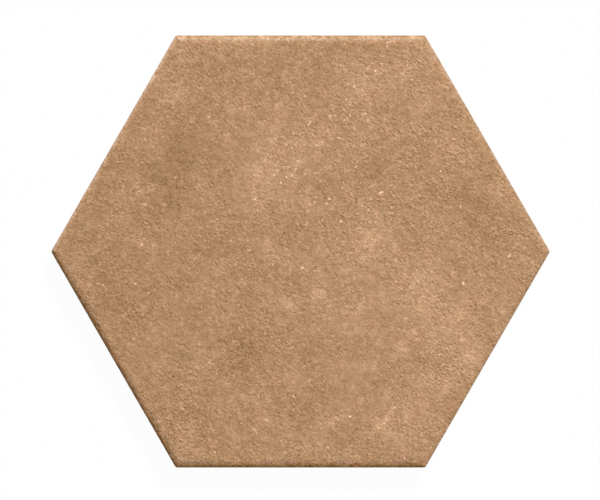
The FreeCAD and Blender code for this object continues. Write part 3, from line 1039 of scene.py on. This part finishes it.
@dataclass
class Graph:
    """A node tree under construction, with short calls for what a finish is made of."""

    tree: bpy.types.NodeTree
    # Places of the colour sockets on a Mix node, whose names come up more than once
    mix_share: int = 0
    mix_first: int = 6
    mix_second: int = 7
    mix_result: int = 2
    # A new ramp has this many stops
    ramp_stops: int = 2

    def add(self, kind: str, inputs: dict[str, Source] | None = None,
            **settings: object) -> bpy.types.Node:
        """Adds a node.

        Args:
            kind: Its type.
            inputs: For its inputs' names, a socket to link or a value to set.
            **settings: The node's own settings.

        Returns:
            The node.
        """
        node = self.tree.nodes.new(kind)
        for name, value in settings.items():
            setattr(node, name, value)
        for name, value in (inputs or {}).items():
            self.feed(node.inputs[name], value)
        return node

    def feed(self, socket: Socket, source: Source) -> None:
        """Links a socket to another, or sets its value."""
        if isinstance(source, Socket):
            self.tree.links.new(source, socket)
        else:
            socket.default_value = source

    def math(self, operation: str, *sources: Source, clamp: bool = False) -> Socket:
        """The result of a Math node.

        Args:
            operation: What it does.
            *sources: What it reads, in order.
            clamp: Whether the result is kept from 0 to 1.

        Returns:
            The result's socket.
        """
        node = self.add("ShaderNodeMath", operation=operation, use_clamp=clamp)
        for socket, source in zip(node.inputs, sources):
            self.feed(socket, source)
        return node.outputs["Value"]

    def layer(self, layer: Layer) -> Socket:
        """A layer of the mesh."""
        return self.add("ShaderNodeAttribute", attribute_name=layer.value).outputs["Fac"]

    def noise(self, place: Socket, size: float, detail: float = 2.0,
              roughness: float = 0.5) -> Socket:
        """Smooth noise about 0, mostly within 0.5 of it.

        Args:
            place: Where it is read, in metres.
            size: The size of its largest features, in metres.
            detail: How many finer octaves are added.
            roughness: Each octave's share of the one before.

        Returns:
            The noise's socket.
        """
        node = self.add("ShaderNodeTexNoise", {"Vector": place, "Scale": 1 / size, "Detail": detail,
                                               "Roughness": roughness})
        return self.math("SUBTRACT", node.outputs[0], 0.5)

    def ramp(self, place: Source, stops: dict[float, Rgba]) -> Socket:
        """A colour read from a ramp.

        Args:
            place: Where the ramp is read, from 0 to 1.
            stops: The colour at each place.

        Returns:
            The colour's socket.
        """
        node = self.add("ShaderNodeValToRGB", {"Fac": place})
        ends = node.color_ramp.elements
        for index, (position, colour) in enumerate(sorted(stops.items())):
            stop = ends[index] if index < self.ramp_stops else ends.new(position)
            stop.position = position
            stop.color = colour
        return node.outputs["Color"]

    def mix(self, share: Source, first: Source, second: Source, blend: str = "MIX") -> Socket:
        """Two colours mixed.

        Args:
            share: The second's share, from 0 to 1.
            first: The first colour.
            second: The second colour.
            blend: How they are mixed.

        Returns:
            The colour's socket.
        """
        node = self.add("ShaderNodeMix", data_type="RGBA", blend_type=blend)
        self.feed(node.inputs[self.mix_share], share)
        self.feed(node.inputs[self.mix_first], first)
        self.feed(node.inputs[self.mix_second], second)
        return node.outputs[self.mix_result]


@dataclass(frozen=True)
class SandyFace:
    """The colour of the pressed face: tan, with lighter and darker ground and pale grains."""

    # The colour at given levels above or below the tile's own, as 8-bit sRGB
    tans: tuple[tuple[float, Rgb], ...] = (
        (-50, (132, 92, 51)), (-25, (158, 117, 78)), (0, (182.5, 142, 105.5)), (25, (208, 169, 134)),
        (50, (231, 196, 162)), (70, (248, 217, 188)),
    )
    span: float = 70.0
    fine_size: float = 1.45 * MM
    fine_roughness: float = 0.65
    fine_levels: float = 82.0
    # How much of the fine noise is there where the face isn't coarse at all
    fine_steady: float = 0.5
    speck_cell: float = 3.0 * MM
    speck_levels: float = 30.0
    # A speck's least radius, what chance adds to it and its soft edge, as shares of the cell
    speck_least: float = 0.11
    speck_more: float = 0.12
    speck_soft: float = 0.06
    # The strength of the faintest specks
    speck_faint: float = 0.4
    grain_levels: float = 62.0
    # Where a lone grain is full and where it ends, in half sizes from its middle
    grain_core: float = 0.5
    grain_end: float = 1.25
    # What light and dark ground multiply the colour by, this many levels from the tile's own
    warm: Rgba = (1.032, 0.986, 0.956, 1.0)
    cool: Rgba = (0.968, 1.014, 1.044, 1.0)
    warm_span: float = 20.0
    # The drift of the hue from pinkish to olive, as shares of the colour
    pinkish: Rgba = (1.000, 0.972, 0.978, 1.0)
    olive: Rgba = (0.970, 1.000, 0.988, 1.0)
    hue_size: float = 8 * MM
    hue_contrast: float = 2.3
    # What the painted rim hues multiply the colour by: brown for painted shade, ashy for painted light
    shaded_rim_brown: Rgba = (1.05, 0.90, 0.64, 1.0)
    lit_rim_ashy: Rgba = (0.98, 1.12, 1.40, 1.0)

    def speck_shape(self, graph: Graph, place: Socket) -> Socket:
        """Small uneven grains, one in each cell of a scattered pattern, where the layer allows them.

        A grain shows where its cell's own random number is below the density. Its radius is least +
        more * r for a second random number, and its strength faint + (1 - faint) * r for a third.

        Args:
            graph: The finish's nodes.
            place: Where it is read, in metres.

        Returns:
            How much of a grain shows, from 0 to 1.
        """
        cells = graph.add("ShaderNodeTexVoronoi", {"Vector": place, "Scale": 1 / self.speck_cell},
                          voronoi_dimensions="2D")
        random = graph.add("ShaderNodeSeparateColor", {"Color": cells.outputs["Color"]}).outputs
        radius = graph.math("MULTIPLY_ADD", random["Red"], self.speck_more, self.speck_least)
        edge = graph.math("DIVIDE", graph.math("SUBTRACT", radius, cells.outputs["Distance"]),
                          self.speck_soft, clamp=True)
        present = graph.math("GREATER_THAN", graph.layer(Layer.SPECKS), random["Green"])
        strength = graph.math("MULTIPLY_ADD", random["Blue"], 1 - self.speck_faint, self.speck_faint)
        return graph.math("MULTIPLY", graph.math("MULTIPLY", edge, present), strength)

    def grain_shape(self, graph: Graph) -> Socket:
        """The lone grains: (end - r) / (end - core), kept from 0 to 1, times the strength.

        Here r is sqrt(along^2 + across^2), in the nearest grain's half sizes.

        Args:
            graph: The finish's nodes.

        Returns:
            How much of a grain shows.
        """
        along, across = graph.layer(Layer.ALONG), graph.layer(Layer.ACROSS)
        squares = graph.math("MULTIPLY_ADD", along, along, graph.math("MULTIPLY", across, across))
        width = self.grain_end - self.grain_core
        shape = graph.math("MULTIPLY_ADD", graph.math("SQRT", squares), -1 / width,
                           self.grain_end / width, clamp=True)
        return graph.math("MULTIPLY", shape, graph.layer(Layer.GRAINS))

    def colour(self, graph: Graph, place: Socket) -> Socket:
        """The face's colour: its levels from the mesh, fine noise and grains, read from the ramp.

        The ramp, the warmth and the hue are each read at 0.5 + value / (2 * span), kept from 0 to 1.

        Args:
            graph: The finish's nodes.
            place: Where it is read, in metres.

        Returns:
            The colour's socket.
        """
        fine = graph.noise(place, self.fine_size, detail=2.0, roughness=self.fine_roughness)
        steady = self.fine_steady * self.fine_levels
        strength = graph.math("MULTIPLY_ADD", graph.layer(Layer.COARSE), self.fine_levels - steady, steady)
        ground = graph.math("MULTIPLY_ADD", self.speck_shape(graph, place), self.speck_levels,
                            graph.layer(Layer.TONE))
        ground = graph.math("MULTIPLY_ADD", self.grain_shape(graph), self.grain_levels, ground)
        level = graph.math("MULTIPLY_ADD", fine, strength, ground)
        share = graph.math("MULTIPLY_ADD", level, 0.5 / self.span, 0.5, clamp=True)
        tan = graph.ramp(share, {0.5 + 0.5 * at / self.span: linear_rgba(*rgb) for at, rgb in self.tans})
        warmth = graph.math("MULTIPLY_ADD", ground, 0.5 / self.warm_span, 0.5, clamp=True)
        tan = graph.mix(1.0, tan, graph.ramp(warmth, {0.0: self.cool, 1.0: self.warm}), "MULTIPLY")
        hue = graph.math("MULTIPLY_ADD", graph.noise(place, self.hue_size), self.hue_contrast, 0.5,
                         clamp=True)
        tan = graph.mix(1.0, tan, graph.ramp(hue, {0.0: self.olive, 1.0: self.pinkish}), "MULTIPLY")
        # The rim hue paints shade brown on the lower rims and light ashy on the upper rims
        rim = graph.layer(Layer.PAINTED_RIM_HUE)
        tan = graph.mix(rim, tan, self.shaded_rim_brown, "MULTIPLY")
        return graph.mix(graph.math("MULTIPLY", rim, -1.0, clamp=True), tan, self.lit_rim_ashy, "MULTIPLY")


@dataclass(frozen=True)
class BareBody:
    """The colour of the fired body on the sides and the back, with wash left on the ribs."""

    own: Rgb = (189, 153, 118)
    dark: Rgb = (171, 135, 101)
    fleck: Rgb = (112, 80, 56)
    wash: Rgb = (214, 203, 188)
    mottle_size: float = 5.0 * MM
    mottle_contrast: float = 1.6
    fleck_cell: float = 2.4 * MM
    fleck_share: float = 0.6
    # The largest radius of a fleck, what is taken off each and its soft edge, as shares of the cell
    fleck_most: float = 0.22
    fleck_less: float = 0.04
    fleck_soft: float = 0.06
    wash_size: float = 3.5 * MM
    wash_contrast: float = 3.0
    wash_middle: float = 0.6
    wash_share: float = 0.55

    def flecks(self, graph: Graph, place: Socket) -> Socket:
        """Small dark balls in the body, one in each cell of a scattered pattern, cut by its surface.

        A ball's radius is most * r - less for its own random number r, so that some cells have none.

        Args:
            graph: The finish's nodes.
            place: Where it is read, in metres.

        Returns:
            How much of a fleck shows, from 0 to its share.
        """
        cells = graph.add("ShaderNodeTexVoronoi", {"Vector": place, "Scale": 1 / self.fleck_cell})
        random = graph.add("ShaderNodeSeparateColor", {"Color": cells.outputs["Color"]}).outputs
        radius = graph.math("MULTIPLY_ADD", random["Red"], self.fleck_most, -self.fleck_less)
        inside = graph.math("DIVIDE", graph.math("SUBTRACT", radius, cells.outputs["Distance"]),
                            self.fleck_soft, clamp=True)
        return graph.math("MULTIPLY", inside, self.fleck_share)

    def colour(self, graph: Graph, place: Socket) -> Socket:
        """The body's colour: two tans by noise, flecks, then the wash where the layer has it.

        Args:
            graph: The finish's nodes.
            place: Where it is read, in metres.

        Returns:
            The colour's socket.
        """
        mottle = graph.math("MULTIPLY_ADD", graph.noise(place, self.mottle_size, detail=4.0),
                            self.mottle_contrast, 0.5, clamp=True)
        body = graph.ramp(mottle, {0.0: linear_rgba(*self.dark), 1.0: linear_rgba(*self.own)})
        body = graph.mix(self.flecks(graph, place), body, linear_rgba(*self.fleck))
        patchy = graph.math("MULTIPLY_ADD", graph.noise(place, self.wash_size, detail=3.0),
                            self.wash_contrast, self.wash_middle, clamp=True)
        left = graph.math("MULTIPLY", graph.math("MULTIPLY", graph.layer(Layer.WASH), patchy),
                          self.wash_share)
        return graph.mix(left, body, linear_rgba(*self.wash))


@dataclass(frozen=True)
class FiredClay:
    """The tile's finish: matt fired clay, with the face's and the bare body's colours."""

    name: str = "matt_fired_clay"
    face: SandyFace = SandyFace()
    body: BareBody = BareBody()
    specular: float = 0.06
    roughness: float = 0.80
    roughness_range: float = 0.16
    roughness_size: float = 4.0 * MM
    grit_size: float = 1.1 * MM
    grit_depth: float = 0.29 * MM
    dust_size: float = 0.6 * MM
    dust_depth: float = 0.034 * MM

    def material(self) -> bpy.types.Material:
        """Makes the material.

        Returns:
            The material.
        """
        material = bpy.data.materials.new(self.name)
        material.use_nodes = True
        graph = Graph(material.node_tree)
        graph.tree.nodes.clear()
        place = graph.add("ShaderNodeTexCoord").outputs["Object"]
        colour = graph.mix(graph.layer(Layer.BARE), self.face.colour(graph, place),
                           self.body.colour(graph, place))
        rough = graph.math("MULTIPLY_ADD", graph.noise(place, self.roughness_size, detail=3.0),
                           self.roughness_range, self.roughness)
        shader = graph.add("ShaderNodeBsdfPrincipled",
                           {"Base Color": colour, "Roughness": rough,
                            "Specular IOR Level": self.specular, "Normal": self.normal(graph, place)})
        graph.add("ShaderNodeOutputMaterial", {"Surface": shader.outputs["BSDF"]})
        return material

    def normal(self, graph: Graph, place: Socket) -> Socket:
        """The relief too fine for the mesh: grit and, finer still, dust, as heights in metres.

        Args:
            graph: The finish's nodes.
            place: Where it is read, in metres.

        Returns:
            The bent normal's socket.
        """
        turned = graph.add("ShaderNodeMapping",
                           {"Vector": place, "Rotation": (0.0, 0.0, GRAIN_BEARING),
                            "Scale": (GRAIN_STRETCH, 1 / GRAIN_STRETCH, 1.0)},
                           vector_type="TEXTURE").outputs["Vector"]
        height = graph.math("MULTIPLY", graph.noise(turned, self.grit_size, detail=1.0),
                            graph.layer(Layer.COARSE))
        grit = graph.add("ShaderNodeBump", {"Height": height, "Distance": self.grit_depth,
                                            "Strength": 1.0})
        dust = graph.add("ShaderNodeBump", {"Height": graph.noise(place, self.dust_size, detail=1.0),
                                            "Distance": self.dust_depth, "Strength": 1.0,
                                            "Normal": grit.outputs["Normal"]})
        return dust.outputs["Normal"]


@dataclass(frozen=True)
class Studio:
    """A plain pale room: a near-white floor, one soft key light and even light all round."""

    floor_drop: float = 0.1 * MM
    floor_reach: float = 6.0
    floor_colour: Rgba = (0.92, 0.92, 0.92, 1.0)
    shown_white: float = 0.97
    key_azimuth: float = math.radians(64)
    key_elevation: float = math.radians(30)
    key_softness: float = math.radians(9)
    even_share: float = 0.20

    def build(self) -> None:
        """Makes the floor, the key light and the even light."""
        self.floor()
        self.key()
        self.even_light()

    def seen(self, graph: Graph) -> Socket:
        """1 for rays from the camera, or reflected or let through on their way from it."""
        path = graph.add("ShaderNodeLightPath").outputs
        return graph.math("MAXIMUM", graph.math("MAXIMUM", path["Is Camera Ray"], path["Is Glossy Ray"]),
                          path["Is Transmission Ray"])

    def floor(self) -> None:
        """A square just under the tile, partly white of itself where seen, so that shadows are faint."""
        reach, low = self.floor_reach, -self.floor_drop
        mesh = bpy.data.meshes.new("floor")
        mesh.from_pydata([(-reach, -reach, low), (reach, -reach, low), (reach, reach, low),
                          (-reach, reach, low)], [], [(0, 1, 2, 3)])
        floor = bpy.data.objects.new("floor", mesh)
        bpy.context.scene.collection.objects.link(floor)
        material = bpy.data.materials.new("pale_floor")
        material.use_nodes = True
        graph = Graph(material.node_tree)
        graph.tree.nodes.clear()
        matt = graph.add("ShaderNodeBsdfDiffuse", {"Color": self.floor_colour})
        white = graph.add("ShaderNodeEmission", {"Strength": 1.0})
        share = graph.math("MULTIPLY", self.seen(graph), self.shown_white)
        both = graph.add("ShaderNodeMixShader", {"Fac": share})
        graph.feed(both.inputs[1], matt.outputs["BSDF"])
        graph.feed(both.inputs[2], white.outputs["Emission"])
        graph.add("ShaderNodeOutputMaterial", {"Surface": both.outputs["Shader"]})
        mesh.materials.append(material)

    def key(self) -> None:
        """A soft sun that gives its share of the light on a level face."""
        light = bpy.data.lights.new("key", "SUN")
        light.energy = (1 - self.even_share) * math.pi / math.sin(self.key_elevation)
        light.angle = self.key_softness
        sun = bpy.data.objects.new("key", light)
        towards = Vector((math.cos(self.key_azimuth) * math.cos(self.key_elevation),
                          math.sin(self.key_azimuth) * math.cos(self.key_elevation),
                          math.sin(self.key_elevation)))
        sun.rotation_euler = towards.to_track_quat("Z", "Y").to_euler()
        bpy.context.scene.collection.objects.link(sun)

    def even_light(self) -> None:
        """A white world where it is seen, and the even share of the light everywhere else."""
        world = bpy.data.worlds.new("studio")
        bpy.context.scene.world = world
        world.use_nodes = True
        graph = Graph(world.node_tree)
        graph.tree.nodes.clear()
        light = graph.add("ShaderNodeBackground", {"Strength": self.even_share, "Color": (1, 1, 1, 1)})
        white = graph.add("ShaderNodeBackground", {"Strength": 1.0, "Color": (1, 1, 1, 1)})
        both = graph.add("ShaderNodeMixShader", {"Fac": self.seen(graph)})
        graph.feed(both.inputs[1], light.outputs["Background"])
        graph.feed(both.inputs[2], white.outputs["Background"])
        graph.add("ShaderNodeOutputWorld", {"Surface": both.outputs["Shader"]})


@dataclass(frozen=True)
class OverheadCamera:
    """The camera straight above the tile, with +Y up in the picture, as in the photograph."""

    lens: float = 200.0
    sensor: float = 36.0
    # The height at which the tile is widest, where the nose meets the upright band
    outline_height: float = 7.4 * MM

    def build(self) -> None:
        """Sets the camera so that a pixel is as wide at the outline's height as in the photograph."""
        data = bpy.data.cameras.new("overhead")
        data.lens, data.sensor_width = self.lens, self.sensor
        camera = bpy.data.objects.new("overhead", data)
        x, y = from_photo(PHOTO_WIDTH_PX / 2, PHOTO_HEIGHT_PX / 2)
        distance = METRES_PER_PX * PHOTO_WIDTH_PX * self.lens / self.sensor
        camera.location = (x, y, self.outline_height + distance)
        bpy.context.scene.collection.objects.link(camera)
        bpy.context.scene.camera = camera


def main() -> None:
    """Builds the tile round its node of the frame, then the studio and the camera."""
    logging.basicConfig(level=logging.INFO, format="%(name)s: %(message)s")
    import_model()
    low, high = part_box(CAD_NODE)
    bpy.context.scene.view_settings.view_transform = "Standard"

    hex_tile = HexTile(thickness=high[2] - low[2], apothem=(high[1] - low[1]) / 2)
    tile = hex_tile.build()
    hex_tile.dress(tile, FiredClay().material())
    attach(tile, "root")
    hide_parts(CAD_NODE)
    LOG.info("%s: %d triangles", tile.name, len(tile.data.polygons))

    Studio().build()
    OverheadCamera().build()
    LOG.info("studio and camera set")


if __name__ == "__main__":
    main()
